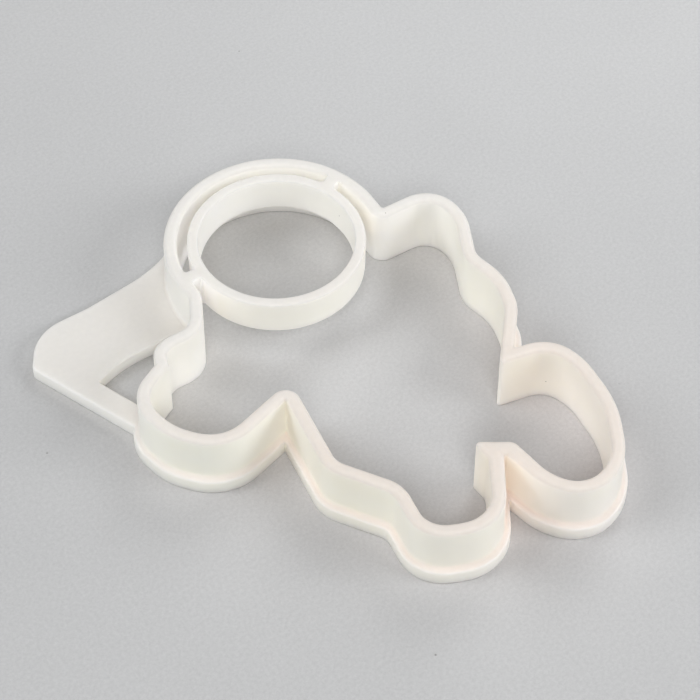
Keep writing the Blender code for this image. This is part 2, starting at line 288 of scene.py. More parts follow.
def outline(reach):
    """The outline this far outside the wall's outer face, or inside it if negative."""
    corners = outline_corners()
    points = [point for name, point, radius in corners]
    facets = facet_counts(points)
    depth = max(0.0, -reach / WALL_THICKNESS)
    moved = []
    for i, (name, point, radius) in enumerate(corners):
        if name == "crotch":
            # As many points as the three corners of the nose have together
            facets[i] = sum(corner[3] for corner in CROTCH_NOSE) + len(CROTCH_NOSE) - 1
        if name == "crotch" and depth > 0:
            for x, y, nose_radius, nose_facets in CROTCH_NOSE:
                place = point.lerp(from_helmet_foot(x, y), depth)
                moved.append((place, radius + (nose_radius - radius) * depth, nose_facets))
            continue
        before = (point - points[i - 1]).normalized()
        after = (points[(i + 1) % len(points)] - point).normalized()
        outward = turned(before, pi / 2) + turned(after, pi / 2)
        place = point + outward * reach / (1 + before.dot(after))
        new_radius = radius - reach if turn_at(points, i) > 0 else radius + reach
        if name in CAVITY_ROUNDS and depth > 0:
            new_radius = radius + (CAVITY_ROUNDS[name] - radius) * depth
        moved.append((place, max(new_radius, SMALLEST_ROUND), facets[i]))
    return rounded(*zip(*moved))


outer_face = outline(0.0)
flange_edge = outline(FLANGE_REACH)
cavity_face = outline(-WALL_THICKNESS)
print("outline points:", len(outer_face), len(flange_edge), len(cavity_face))

# %% [markdown]
# Sections that follow a path
#
# The wall and the yolk ring each have the same section all the way round. They could be modelled face by
# face, but it is less work to let Geometry Nodes draw a section and lead it along a path, and every size
# stays open to change. Small helpers keep the node trees readable. They add a node with its inputs, start
# and end a group with named inputs, and calculate.


# %% Helpers for node trees
def add_node(tree, kind, inputs=None, **settings):
    """A node with its settings, and with values or links on the named inputs."""
    node = tree.nodes.new(kind)
    for name, value in settings.items():
        setattr(node, name, value)
    for name, value in (inputs or {}).items():
        if isinstance(value, bpy.types.NodeSocket):
            tree.links.new(value, node.inputs[name])
        else:
            node.inputs[name].default_value = value
    return node


def new_group(name, inputs):
    """A Geometry Nodes group with one geometry in and out and named inputs of its own."""
    tree = bpy.data.node_groups.new(name, "GeometryNodeTree")
    tree.interface.new_socket("Geometry", in_out="OUTPUT", socket_type="NodeSocketGeometry")
    for input_name, kind in inputs.items():
        tree.interface.new_socket(input_name, in_out="INPUT", socket_type="NodeSocket" + kind)
    entry = tree.nodes.new("NodeGroupInput")
    return tree, entry.outputs


def finish_group(tree, geometry, material):
    """Ends a group: everything made real and given its material."""
    real = add_node(tree, "GeometryNodeRealizeInstances", {"Geometry": geometry})
    dressed = add_node(tree, "GeometryNodeSetMaterial", {"Geometry": real.outputs[0], "Material": material})
    leave = tree.nodes.new("NodeGroupOutput")
    tree.links.new(dressed.outputs[0], leave.inputs["Geometry"])


def calculate(tree, operation, first, second):
    return add_node(tree, "ShaderNodeMath", {0: first, 1: second}, operation=operation).outputs[0]


def product(tree, first, second):
    return calculate(tree, "MULTIPLY", first, second)


# %% [markdown]
# Patterns for materials
#
# Every tint and every bump comes from noise on the object's own coordinates, or from where on the object
# a point lies and which way it faces. Each such value is spread over the range that is wanted, and then
# mixes two colours. An image wrapped round the mould could do the same, but it would blur close up and
# show a seam.

# %% Helpers for tints
# Numbers of the colour sockets on a Mix node, which also has sockets for values and vectors
FIRST_COLOR_INPUT = 6
SECOND_COLOR_INPUT = 7
MIXED_COLOR_OUTPUT = 2


def noise(tree, place, scale, detail, roughness=0.5):
    return add_node(tree, "ShaderNodeTexNoise",
                    {"Vector": place, "Scale": scale, "Detail": detail, "Roughness": roughness}).outputs[0]


def between(tree, value, low, high, new_low=0.0, new_high=1.0):
    """Value spread from one range to another, and held inside it."""
    return add_node(tree, "ShaderNodeMapRange",
                    {"Value": value, "From Min": low, "From Max": high, "To Min": new_low,
                     "To Max": new_high}).outputs[0]


def mixed(tree, share, first, second, blend="MIX"):
    """Two colours mixed by a share; each is a socket or three numbers."""
    mix = add_node(tree, "ShaderNodeMix", {"Factor": share}, data_type="RGBA", blend_type=blend)
    for number, color in ((FIRST_COLOR_INPUT, first), (SECOND_COLOR_INPUT, second)):
        if isinstance(color, bpy.types.NodeSocket):
            tree.links.new(color, mix.inputs[number])
        else:
            mix.inputs[number].default_value = (*color, 1.0)
    return mix.outputs[MIXED_COLOR_OUTPUT]


# %% [markdown]
# Specks and bumps
#
# Dirt lies on a real surface in small round specks, and its grain is much too fine for faces. Specks could
# be scattered as little balls, but here they are only a colour: a Voronoi pattern divides the space into
# cells, their random colours choose a few of them, and each of these gets a dot in its middle. A bump
# leaves the surface where it is and only tilts the light on it.

# %% Helpers for specks, bumps and whole materials
# A speck's core and rim as shares of its cell, and the softness of the choice between cells
SPECK_SIZE = (0.03, 0.05)
SPECK_EDGE = 0.01


def specks(tree, place, scale, rarity):
    """1 on small round specks: a dot in the middle of a few cells, 0 elsewhere."""
    cells = add_node(tree, "ShaderNodeTexVoronoi", {"Vector": place, "Scale": scale, "Randomness": 1.0})
    chosen = add_node(tree, "ShaderNodeSeparateColor", {0: cells.outputs["Color"]}).outputs[0]
    return product(tree, between(tree, cells.outputs["Distance"], *SPECK_SIZE, 1.0, 0.0),
                   between(tree, chosen, rarity, rarity + SPECK_EDGE))


def bump(tree, height, distance, strength, **more):
    """Normal of a surface raised by a value times a distance."""
    return add_node(tree, "ShaderNodeBump",
                    {"Height": height, "Distance": distance, "Strength": strength, **more}).outputs[0]


def new_material(name, finish):
    """A material with the constant values of its finish, its tree, and the object's coordinates."""
    material = bpy.data.materials.new(name)
    material.use_nodes = True
    tree = material.node_tree
    for input_name, value in finish.items():
        tree.nodes["Principled BSDF"].inputs[input_name].default_value = value
    return material, tree, add_node(tree, "ShaderNodeTexCoord").outputs["Object"]


def connect(tree, sockets):
    """Links each socket to the input of this name on the shader."""
    for input_name, socket in sockets.items():
        tree.links.new(socket, tree.nodes["Principled BSDF"].inputs[input_name])


# %% [markdown]
# Painted light in the slot and painted shade on the tops
#
# Two tints have sharply bounded places. The slot between yolk ring and head gets a cream of its own,
# paler at its left end: painted light that stands in for the light passing through its thin walls. And
# the faces that look up get painted shade with a fine grain in it, most on the rims, less on the grip and
# half on the flange, which dulls their light. Both could be painted by hand on an unwrapped mould, but a
# distance, a height and the way that the surface faces are enough to find these places.

# %% Find the slot and the faces with painted shade
SLOT_MARGIN = 0.3
SLOT_MIDDLE = (RING_BORE_RADIUS + RING_WALL + RING_TO_HELMET / 2) * MM
SLOT_HALF = (RING_TO_HELMET / 2 + SLOT_MARGIN) * MM

# Where the slot's painted light begins and is full, in metres from the ring's centre along Y and along X
SLOT_NEAR_END = (-0.006, -0.002)
SLOT_LEFT_SIDE = (-0.004, -0.016)

# Where the painted shade on the rims and on the grip begins and is full, in metres of height and along Y
RIM_LEVEL = (0.010, 0.014)
GRIP_SIDE = (0.012, 0.026)

# How far a surface has to face up, from 0 on a wall to 1 on a level face
SLOPING = (0.02, 0.5)
LEVEL = (0.3, 1.0)

# Scale and detail of the grain in the painted shade, the part of it that is used, and the shade that this
# gives
TOP_SHADE_GRAIN = (700.0, 5.0)
MIDDLE_RANGE = (0.3, 0.7)
TOP_SHADE_SHARE = (0.86, 1.0)
# Share of the painted shade on the flange and on the grip
FOOT_SHADE_SHARE = (0.5, 0.9)


def slot_shares(tree, where):
    """1 in the far part of the slot round the ring, else 0; and 1 at its left end, else 0."""
    # These shares place the painted light of the slot
    across, away = (calculate(tree, "SUBTRACT", where.outputs[i], ring_centre[i]) for i in (0, 1))
    squares = calculate(tree, "ADD", product(tree, across, across), product(tree, away, away))
    from_middle = calculate(tree, "SUBTRACT", calculate(tree, "POWER", squares, 0.5), SLOT_MIDDLE)
    inside = calculate(tree, "LESS_THAN", calculate(tree, "ABSOLUTE", from_middle, 0.0), SLOT_HALF)
    return product(tree, inside, between(tree, away, *SLOT_NEAR_END)), between(tree, across, *SLOT_LEFT_SIDE)


def top_shade_share(tree, place, where, upward):
    """Share of painted shade on the faces that look up: most on the rims, less on the grip, half on the
    flange.
    """
    on_rim = product(tree, between(tree, upward, *SLOPING), between(tree, where.outputs["Z"], *RIM_LEVEL))
    on_foot = product(tree, between(tree, upward, *LEVEL),
                      between(tree, where.outputs["Y"], *GRIP_SIDE, *FOOT_SHADE_SHARE))
    grain = between(tree, noise(tree, place, *TOP_SHADE_GRAIN), *MIDDLE_RANGE, *TOP_SHADE_SHARE)
    return product(tree, calculate(tree, "MAXIMUM", on_rim, on_foot), grain)


print("slot:", round((SLOT_MIDDLE - SLOT_HALF) / MM, 2), "to", round((SLOT_MIDDLE + SLOT_HALF) / MM, 2),
      "mm from the ring's centre")

# %% [markdown]
# The tint
#
# A real moulding is never one even colour. Slow noise shifts this one between cool white and cream, a
# faint pink comes in towards the right boot, and the feet are a little warmer. Faces that lean up, the
# fillet over the flange among them, get a greyer white, which is painted shade that dulls their light,
# and a few specks of dirt sit on the skin. Each layer is mixed over the one before it, as a painter
# glazes, so that any of them can be changed alone. A picture of real silicone could replace them all, but
# it would bring its own light and shadow with it.

# %% Mix the tint of the silicone
COOL_WHITE = (0.987, 0.955, 0.892)
CREAM = (0.987, 0.940, 0.866)
FAINT_PINK = (0.987, 0.934, 0.908)
# Painted light: the slot's two tints, paler than its shade would leave the walls
SLOT_PAINTED_LIGHT_WHITE = (0.990, 0.974, 0.945)
SLOT_PAINTED_LIGHT_CREAM = (0.940, 0.918, 0.880)
# Painted shade on faces that lean up, greyer to dull their light
UPWARD_PAINTED_SHADE = (0.945, 0.930, 0.910)
# Painted shade on the faces that look up, darker to dull their light
TOP_PAINTED_SHADE = (0.785, 0.768, 0.738)
FEET_WARMTH = (1.0, 0.946, 0.914)
SPECK_GREY = (0.42, 0.40, 0.37)

# Scale and detail of each noise, the part of it that is used, and the share of the tint that this gives
TINT_CLOUDS = (40.0, 3.0)
TINT_RANGE = (0.38, 0.62)
PINK_PATCHES = (90.0, 3.0)
PINK_RANGE = (0.3, 0.6)
PINK_SHARE = (0.6, 1.0)

# Where the pink and the warmth begin and are full, in metres along X minus Y and along Y
PINK_SIDE = (0.02, 0.09)
FEET_SIDE = (0.03, -0.02)

# Least and most of the painted shade on faces that lean up, and scale and rarity of the specks
UPWARD_SHADE_SHARE = (0.0, 0.5)
SILICONE_SPECKS = (260.0, 0.94)


def silicone_tint(tree, place):
    """Base colour of the silicone, from its broadest layer to its specks."""
    where = add_node(tree, "ShaderNodeSeparateXYZ", {0: place})
    facing = add_node(tree, "ShaderNodeNewGeometry").outputs["Normal"]
    upward = add_node(tree, "ShaderNodeSeparateXYZ", {0: facing}).outputs["Z"]
    clouds = between(tree, noise(tree, place, *TINT_CLOUDS), *TINT_RANGE)
    slant = calculate(tree, "SUBTRACT", where.outputs["X"], where.outputs["Y"])
    patches = between(tree, noise(tree, place, *PINK_PATCHES), *PINK_RANGE, *PINK_SHARE)
    in_slot, at_left = slot_shares(tree, where)
    tint = mixed(tree, clouds, COOL_WHITE, CREAM)
    tint = mixed(tree, product(tree, patches, between(tree, slant, *PINK_SIDE)), tint, FAINT_PINK)
    # Painted light in the slot, palest at its left end
    tint = mixed(tree, in_slot, tint, mixed(tree, at_left, SLOT_PAINTED_LIGHT_CREAM, SLOT_PAINTED_LIGHT_WHITE))
    # Painted shade on faces that lean up
    tint = mixed(tree, between(tree, upward, *SLOPING, *UPWARD_SHADE_SHARE), tint, UPWARD_PAINTED_SHADE)
    # Painted shade on the rims, the grip and the flange, with a fine grain
    tint = mixed(tree, top_shade_share(tree, place, where, upward), tint, TOP_PAINTED_SHADE)
    tint = mixed(tree, between(tree, where.outputs["Y"], *FEET_SIDE), tint, FEET_WARMTH, "MULTIPLY")
    return mixed(tree, specks(tree, place, *SILICONE_SPECKS), tint, SPECK_GREY)


# %% [markdown]
# Milky silicone
#
# Silicone without pigment is milky: light enters, wanders a few millimetres and comes out warmer. A plain
# white surface would look like plaster, so here light really scatters below the surface, with nearly the
# same reach for all colours. The skin is satin, not glossy, and its sheen varies with a finer noise. Two
# bumps give the soft waviness of rubber and the fine blasted grain of its metal mould. They are too low
# to be worth real faces.

# %% Make the silicone
SHEEN_CLOUDS = (400.0, 4.0)
SATIN_ROUGHNESS = (0.5, 0.62)

# Scale and detail of each bump's noise, and its height and strength
SOFT_WAVES = (120.0, 2.0)
WAVE_BUMP = (0.4 * MM, 0.35)
BLASTED_GRAIN = (2600.0, 3.0)
GRAIN_BUMP = (0.04 * MM, 0.5)

SILICONE_FINISH = {
    "Subsurface Weight": 1.0,
    "Subsurface Radius": (1.0, 1.0, 0.95),
    "Subsurface Scale": 3.0 * MM,
    "Specular IOR Level": 0.25,
    "IOR": 1.41,
}


def milky_silicone(name):
    material, tree, place = new_material(name, SILICONE_FINISH)
    waves = bump(tree, noise(tree, place, *SOFT_WAVES), *WAVE_BUMP)
    connect(tree, {
        "Base Color": silicone_tint(tree, place),
        "Roughness": between(tree, noise(tree, place, *SHEEN_CLOUDS), *MIDDLE_RANGE, *SATIN_ROUGHNESS),
        "Normal": bump(tree, noise(tree, place, *BLASTED_GRAIN), *GRAIN_BUMP, Normal=waves),
    })
    return material


silicone = milky_silicone("satin_milky_silicone")
print(silicone.name, "nodes:", len(silicone.node_tree.nodes))

# %% [markdown]
# The section in the tree
#
# A section is what a cut through the wall or the ring shows. It is drawn in the tree as well, so that its
# sizes can be inputs: a closed line of a few corners, moved to their places and then rounded with Fillet
# Curve. X is the reach outward from the path and Y is the height.


# %% A rounded section inside a tree
def rounded_section(tree, corners, arc_steps):
    """Closed curve through corners of (reach, height, radius), each a socket or a number."""
    line = add_node(tree, "GeometryNodeMeshLine", {"Count": len(corners)})
    curve = add_node(tree, "GeometryNodeMeshToCurve", {"Mesh": line.outputs[0]})
    closed = add_node(tree, "GeometryNodeSetSplineCyclic", {0: curve.outputs[0], "Cyclic": True})
    index = add_node(tree, "GeometryNodeInputIndex").outputs[0]
    places = add_node(tree, "GeometryNodeIndexSwitch", data_type="VECTOR")
    radii = add_node(tree, "GeometryNodeIndexSwitch", data_type="FLOAT")
    for node in (places, radii):
        while len(node.index_switch_items) < len(corners):
            node.index_switch_items.new()
        tree.links.new(index, node.inputs["Index"])
    for k, (reach, height, radius) in enumerate(corners):
        place = add_node(tree, "ShaderNodeCombineXYZ", {"X": reach, "Y": height})
        tree.links.new(place.outputs[0], places.inputs[k + 1])
        if isinstance(radius, bpy.types.NodeSocket):
            tree.links.new(radius, radii.inputs[k + 1])
        else:
            radii.inputs[k + 1].default_value = radius
    drawn = add_node(tree, "GeometryNodeSetPosition",
                     {"Geometry": closed.outputs[0], "Position": places.outputs[0]})
    fillet = add_node(tree, "GeometryNodeFilletCurve",
                      {"Curve": drawn.outputs[0], "Count": arc_steps, "Radius": radii.outputs[0],
                       "Limit Radius": True}, mode="POLY")
    return fillet.outputs[0]


# %% [markdown]
# The section along the path
#
# Curve to Mesh lays the faces, but alone it would squeeze the section in tight bends. So each point of the
# path also carries two vectors: how far a step outward takes it, and how far a step inward. Capture
# Attribute lets every new point remember its place on the path and on the section, and Set Position then
# puts it where these two say.


# %% Lay a section along a path
def named_vector(tree, name):
    return add_node(tree, "GeometryNodeInputNamedAttribute", {"Name": name},
                    data_type="FLOAT_VECTOR").outputs[0]


def section_along_path(tree, path, section):
    """Lays the section along the path, then places each point by the path's two step vectors."""
    position = add_node(tree, "GeometryNodeInputPosition").outputs[0]
    kept_foot = add_node(tree, "GeometryNodeCaptureAttribute", {"Geometry": path})
    kept_foot.capture_items.new("VECTOR", "Foot")
    tree.links.new(position, kept_foot.inputs[1])
    kept_section = add_node(tree, "GeometryNodeCaptureAttribute", {"Geometry": section})
    kept_section.capture_items.new("VECTOR", "Section")
    tree.links.new(position, kept_section.inputs[1])
    skin = add_node(tree, "GeometryNodeCurveToMesh",
                    {"Curve": kept_foot.outputs[0], "Profile Curve": kept_section.outputs[0]})
    part = add_node(tree, "ShaderNodeSeparateXYZ", {0: kept_section.outputs[1]})
    out_step = calculate(tree, "MAXIMUM", part.outputs["X"], 0.0)
    in_step = calculate(tree, "MAXIMUM", product(tree, part.outputs["X"], -1.0), 0.0)
    place = kept_foot.outputs[1]
    for name, step in (("outward", out_step), ("inward", in_step)):
        moved = add_node(tree, "ShaderNodeVectorMath", {0: named_vector(tree, name)}, operation="SCALE")
        tree.links.new(step, moved.inputs["Scale"])
        place = add_node(tree, "ShaderNodeVectorMath", {0: place, 1: moved.outputs[0]},
                         operation="ADD").outputs[0]
    height = add_node(tree, "ShaderNodeCombineXYZ", {"Z": part.outputs["Y"]})
    place = add_node(tree, "ShaderNodeVectorMath", {0: place, 1: height.outputs[0]},
                     operation="ADD").outputs[0]
    return add_node(tree, "GeometryNodeSetPosition",
                    {"Geometry": skin.outputs[0], "Position": place}).outputs[0]


# %% [markdown]
# From a tree to a mesh
#
# What a tree or a modifier makes is only shown, so it is copied to a plain mesh before work goes on with
# it. Then its doubles are welded, and its faces are turned outward. A closed skin encloses a positive
# volume if its faces point outward, which is easy to measure.

# %% Copy and weld a mesh
WELD_DISTANCE = 0.002 * MM


def welded(name, mesh):
    """A clean closed mesh with faces outward; prints its volume."""
    bm = bmesh.new()
    bm.from_mesh(mesh)
    bmesh.ops.remove_doubles(bm, verts=bm.verts[:], dist=WELD_DISTANCE)
    bmesh.ops.dissolve_degenerate(bm, edges=bm.edges[:], dist=WELD_DISTANCE)
    bmesh.ops.recalc_face_normals(bm, faces=bm.faces[:])
    if bm.calc_volume(signed=True) < 0:
        bmesh.ops.reverse_faces(bm, faces=bm.faces[:])
    open_edges = sum(not edge.is_manifold for edge in bm.edges)
    volume = round(bm.calc_volume() / MM ** 3)
    print(name, len(bm.verts), "points,", volume, "mm3,", open_edges, "open edges")
    clean = bpy.data.meshes.new(name)
    bm.to_mesh(clean)
    bm.free()
    for material in mesh.materials:
        clean.materials.append(material)
    clean.shade_smooth()
    return clean


def add_object(name, mesh):
    thing = bpy.data.objects.new(name, mesh)
    bpy.context.scene.collection.objects.link(thing)
    return thing


def plain_mesh(thing):
    """The mesh that an object shows with its modifiers; the object itself is removed."""
    bpy.context.view_layer.update()
    evaluated = thing.evaluated_get(bpy.context.evaluated_depsgraph_get())
    mesh = bpy.data.meshes.new_from_object(evaluated)
    bpy.data.objects.remove(thing, do_unlink=True)
    return mesh


# %% [markdown]
# Running a tree on a path
#
# A path goes into the tree as a mesh of edges, because the points of a mesh can carry the two step vectors
# as attributes. A modifier runs the tree. Its inputs are set by the identifier of their socket, before the
# object is evaluated for the first time.


# %% Run a tree on a path
def run_tree(name, tree, start_mesh, sizes):
    """Runs a tree on a start mesh with its sizes given in millimetres."""
    maker = add_object(name, start_mesh)
    modifier = maker.modifiers.new(name, "NODES")
    modifier.node_group = tree
    for socket in tree.interface.items_tree:
        if socket.in_out == "INPUT" and socket.name in sizes:
            modifier[socket.identifier] = sizes[socket.name] * MM
    return add_object(name, welded(name, plain_mesh(maker)))


def path_mesh(name, points, outward, inward):
    """Closed line that carries its two step vectors on each point."""
    mesh = bpy.data.meshes.new(name)
    count = len(points)
    places = [(point.x * MM, point.y * MM, 0.0) for point in points]
    mesh.from_pydata(places, [(i, (i + 1) % count) for i in range(count)], [])
    for attribute_name, steps in (("outward", outward), ("inward", inward)):
        attribute = mesh.attributes.new(attribute_name, "FLOAT_VECTOR", "POINT")
        for i, step in enumerate(steps):
            attribute.data[i].vector = (step.x, step.y, 0.0)
    return mesh


# %% [markdown]
# The outline wall
#
# This is the wall that holds the batter, with the flange that keeps it standing on the pan. It could be
# extruded from its outline step by step, but then a change of rim or flange means making it again. As one
# section that follows the outline it has the same rim everywhere, and each size is a named input. The
# section has six corners: foot and top of the flange, the fillet into the wall, both edges of the rim,
# and the foot on the cavity side.

# %% Grow the outline wall
ARC_STEPS = 5
wall_tree, sizes = new_group("wall_along_outline", {
    "Geometry": "Geometry", "Wall Height": "Float", "Wall Thickness": "Float",
    "Flange Reach": "Float", "Flange Height": "Float", "Flange Round": "Float",
    "Flange Fillet": "Float", "Rim Round": "Float", "Foot Round": "Float"})
cavity_side = product(wall_tree, sizes["Wall Thickness"], -1.0)
wall_section = rounded_section(wall_tree, (
    (sizes["Flange Reach"], 0.0, sizes["Foot Round"]),
    (sizes["Flange Reach"], sizes["Flange Height"], sizes["Flange Round"]),
    (0.0, sizes["Flange Height"], sizes["Flange Fillet"]),
    (0.0, sizes["Wall Height"], sizes["Rim Round"]),
    (cavity_side, sizes["Wall Height"], sizes["Rim Round"]),
    (cavity_side, 0.0, sizes["Foot Round"]),
), ARC_STEPS)
wall_path = add_node(wall_tree, "GeometryNodeMeshToCurve", {"Mesh": sizes["Geometry"]}).outputs[0]
finish_group(wall_tree, section_along_path(wall_tree, wall_path, wall_section), silicone)

outline_path = path_mesh(
    "outline_path", outer_face,
    [(edge - face) / FLANGE_REACH for edge, face in zip(flange_edge, outer_face)],
    [(face - outer) / WALL_THICKNESS for face, outer in zip(cavity_face, outer_face)])
outline_wall = run_tree("outline_wall_skin", wall_tree, outline_path, {
    "Wall Height": WALL_HEIGHT, "Wall Thickness": WALL_THICKNESS, "Flange Reach": FLANGE_REACH,
    "Flange Height": FLANGE_HEIGHT, "Flange Round": FLANGE_ROUND, "Flange Fillet": FLANGE_FILLET,
    "Rim Round": RIM_ROUND, "Foot Round": FOOT_ROUND})

# %% [markdown]
# The yolk ring
#
# The ring keeps the yolk in the middle of the head. A Screw modifier could turn it, but the wall's own
# rule does it too, with a simpler section. The path is the bore's circle, and both step vectors point
# straight out from its centre, so the section is turned round the middle as on a lathe. The bore is a
# little narrower at the foot, and the outer side leans in by the same amount, so the ring leaves its
# mould easily.

# %% Turn the yolk ring
RING_STEPS = 180
ring_tree, sizes = new_group("turned_ring", {
    "Geometry": "Geometry", "Wall": "Float", "Taper": "Float", "Top": "Float", "Depth": "Float",
    "Rim Round": "Float", "Foot Round": "Float"})
ring_foot = calculate(ring_tree, "SUBTRACT", sizes["Top"], sizes["Depth"])
foot_inside = product(ring_tree, sizes["Taper"], -1.0)
foot_outside = calculate(ring_tree, "SUBTRACT", sizes["Wall"], sizes["Taper"])
ring_section = rounded_section(ring_tree, (
    (foot_inside, ring_foot, sizes["Foot Round"]),
    (foot_outside, ring_foot, sizes["Foot Round"]),
    (sizes["Wall"], sizes["Top"], sizes["Rim Round"]),
    (0.0, sizes["Top"], sizes["Rim Round"]),
), ARC_STEPS)
ring_path = add_node(ring_tree, "GeometryNodeMeshToCurve", {"Mesh": sizes["Geometry"]}).outputs[0]
finish_group(ring_tree, section_along_path(ring_tree, ring_path, ring_section), silicone)

ring_spokes = [polar(1.0, 2 * pi * k / RING_STEPS) for k in range(RING_STEPS)]
bore_path = path_mesh("bore_path", [spoke * RING_BORE_RADIUS for spoke in ring_spokes],
                      ring_spokes, [-spoke for spoke in ring_spokes])
yolk_ring = run_tree("yolk_ring_skin", ring_tree, bore_path, {
    "Wall": RING_WALL, "Taper": RING_TAPER, "Top": WALL_HEIGHT, "Depth": RING_HEIGHT,
    "Rim Round": RING_ROUND, "Foot Round": FOOT_ROUND})

# %% [markdown]
# Flat pieces
#
# The webs and the grip are flat plates with a round edge. A plate could be extruded from a face and then
# bevelled, but a filled 2D curve does both at once, and a closed path inside its edge becomes a window in
# it. The curve is first drawn in by the rounding, because its bevel grows outward.

# %% Fill a flat shape
SHORTEST_STEP = 0.02
BEVEL_STEPS = 4


def flat_shape(name, paths, bottom, top, edge_round):
    """Plate between two heights from closed paths, the first its edge and the rest its holes."""
    curve = bpy.data.curves.new(name, "CURVE")
    curve.dimensions = "2D"
    curve.fill_mode = "BOTH"
    curve.extrude = (top - bottom) / 2 - edge_round
    curve.bevel_depth = edge_round
    curve.bevel_resolution = BEVEL_STEPS
    curve.offset = -edge_round
    curve.materials.append(silicone)
    for path in paths:
        path = [path[i] for i in range(len(path)) if (path[i] - path[i - 1]).length > SHORTEST_STEP]
        spline = curve.splines.new("POLY")
        spline.points.add(len(path) - 1)
        spline.use_cyclic_u = True
        for point, place in zip(spline.points, path):
            point.co = (place.x, place.y, 0.0, 1.0)
    mesh = plain_mesh(add_object(name, curve))
    for vertex in mesh.vertices:
        vertex.co.z += (bottom + top) / 2
        vertex.co *= MM
    return add_object(name, welded(name, mesh))


# %% [markdown]
# Webs and grip
#
# The webs hold the ring in the head, and the grip is the tab that lifts the hot mould off the pan. The webs
# run from the middle of the ring's wall to the middle of the figure's wall, and flare where they meet them.
# The grip and its window run on under the wall. What overlaps will be grown together in the next step, and
# a hair's breadth of difference in height keeps two flat faces from lying exactly in each other.

# %% Make the webs and the grip plate
FLAT_OFFSET = 0.02


def ring_web(name, angle):
    """Bridge between ring and helmet, flared at both ends."""
    ring_face = RING_BORE_RADIUS + RING_WALL
    half = WEB_WIDTH / 2
    wide = half + WEB_FLARE
    side = [(ring_face - RING_WALL / 2, wide), (ring_face, wide),
            (ring_face + WEB_FLARE_ROUND / 2, half),
            (ring_face + RING_TO_HELMET - WEB_FLARE_ROUND / 2, half),
            (ring_face + RING_TO_HELMET, wide), (ring_face + RING_TO_HELMET + WALL_THICKNESS / 2, wide)]
    points = [Vector(place) for place in side] + [Vector((x, -y)) for x, y in reversed(side)]
    radii = [SMALLEST_ROUND if abs(point.y) > half else WEB_FLARE_ROUND for point in points]
    path = [turned(place, angle) for place in rounded(points, radii, facet_counts(points))]
    return flat_shape(name, [path], WALL_HEIGHT - RING_HEIGHT + FLAT_OFFSET, WALL_HEIGHT - FLAT_OFFSET,
                      SMALLEST_ROUND)


webs = [ring_web("ring_web_skin", angle) for angle in WEB_ANGLES]
grip_plate = flat_shape("grip_plate_skin", [rounded_shape(GRIP_CORNERS), rounded_shape(WINDOW_CORNERS)],
                        FLAT_OFFSET, GRIP_THICKNESS + FLAT_OFFSET, GRIP_ROUND)

# %% [markdown]
# Growing together
#
# Silicone is poured into one cavity, so the moulding has a single skin. Boolean unions give it that:
# they remove everything inside, which matters here, because light wanders through this material and
# would find every hidden face. Weighted normals then keep the flat faces flat beside their rounded
# edges.


# %% Unite the pieces into one moulding
def combined(name, base, others, operation):
    """One closed skin from a piece and others, which are used up."""
    for other in others:
        boolean = base.modifiers.new(operation.lower() + "_" + other.name, "BOOLEAN")
        boolean.operation = operation
        boolean.solver = "EXACT"
        boolean.object = other
    mesh = plain_mesh(base)
    for other in others:
        bpy.data.objects.remove(other, do_unlink=True)
    return add_object(name, welded(name, mesh))


# The plate may reach only to the middle of the wall, so the figure's inside is taken off it first
figure_room = flat_shape("figure_room", [outline(-WALL_THICKNESS / 2)], -WALL_HEIGHT, WALL_HEIGHT, 0.0)
grip_plate = combined("grip_plate_skin", grip_plate, [figure_room], "DIFFERENCE")
moulding = combined("silicone_moulding", outline_wall, [yolk_ring, grip_plate] + webs, "UNION")

# Everything was drawn round the middle of the yolk ring, and the frame says where that is
for vertex in moulding.data.vertices:
    vertex.co += Vector((ring_centre.x, ring_centre.y, 0.0))
weighting = moulding.modifiers.new("even_shading", "WEIGHTED_NORMAL")
weighting.keep_sharp = True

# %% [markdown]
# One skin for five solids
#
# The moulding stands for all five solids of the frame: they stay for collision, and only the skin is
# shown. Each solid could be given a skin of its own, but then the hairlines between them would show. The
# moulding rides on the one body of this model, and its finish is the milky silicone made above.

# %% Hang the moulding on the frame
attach(moulding, "root")
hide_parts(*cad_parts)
print("stands for", sorted(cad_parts))

# %% [markdown]
# The table
#
# The mould stands on a matt grey board, which is one large square face, because nothing but its surface
# is ever seen. That is never a flat colour: slow clouds and a fine grain in its colour, and the same grain
# in its bump, keep it from looking like paper. It belongs to the stage, not to the object.

# %% Lay the table
TABLE_SIZE = 3.0
TABLE_GREY = (0.600, 0.604, 0.609)
TABLE_DARKER = (0.506, 0.510, 0.515)
TABLE_SPECK = (0.30, 0.30, 0.30)
TABLE_CLOUDS = (14.0, 3.0)
TABLE_GRAIN = (1100.0, 4.0, 0.8)
TABLE_RANGE = (0.35, 0.65)
CLOUD_SHARE = (0.0, 0.2)
GRAIN_SHARE = (0.0, 0.8)
TABLE_SPECKS = (150.0, 0.95)
TABLE_BUMP = (0.1 * MM, 0.4)
TABLE_FINISH = {"Roughness": 0.6, "Specular IOR Level": 0.3}


def matt_board(name):
    material, tree, place = new_material(name, TABLE_FINISH)
    clouds = noise(tree, place, *TABLE_CLOUDS)
    grain = noise(tree, place, *TABLE_GRAIN)
    share = calculate(tree, "ADD", between(tree, clouds, *TABLE_RANGE, *CLOUD_SHARE),
                      between(tree, grain, *TABLE_RANGE, *GRAIN_SHARE))
    tint = mixed(tree, share, TABLE_GREY, TABLE_DARKER)
    tint = mixed(tree, specks(tree, place, *TABLE_SPECKS), tint, TABLE_SPECK)
    connect(tree, {"Base Color": tint, "Normal": bump(tree, grain, *TABLE_BUMP)})
    return material


def table_mesh(name, size):
    mesh = bpy.data.meshes.new(name)
    half = size / 2
    mesh.from_pydata([(-half, -half, 0), (half, -half, 0), (half, half, 0), (-half, half, 0)], [],
                     [(0, 1, 2, 3)])
    return mesh


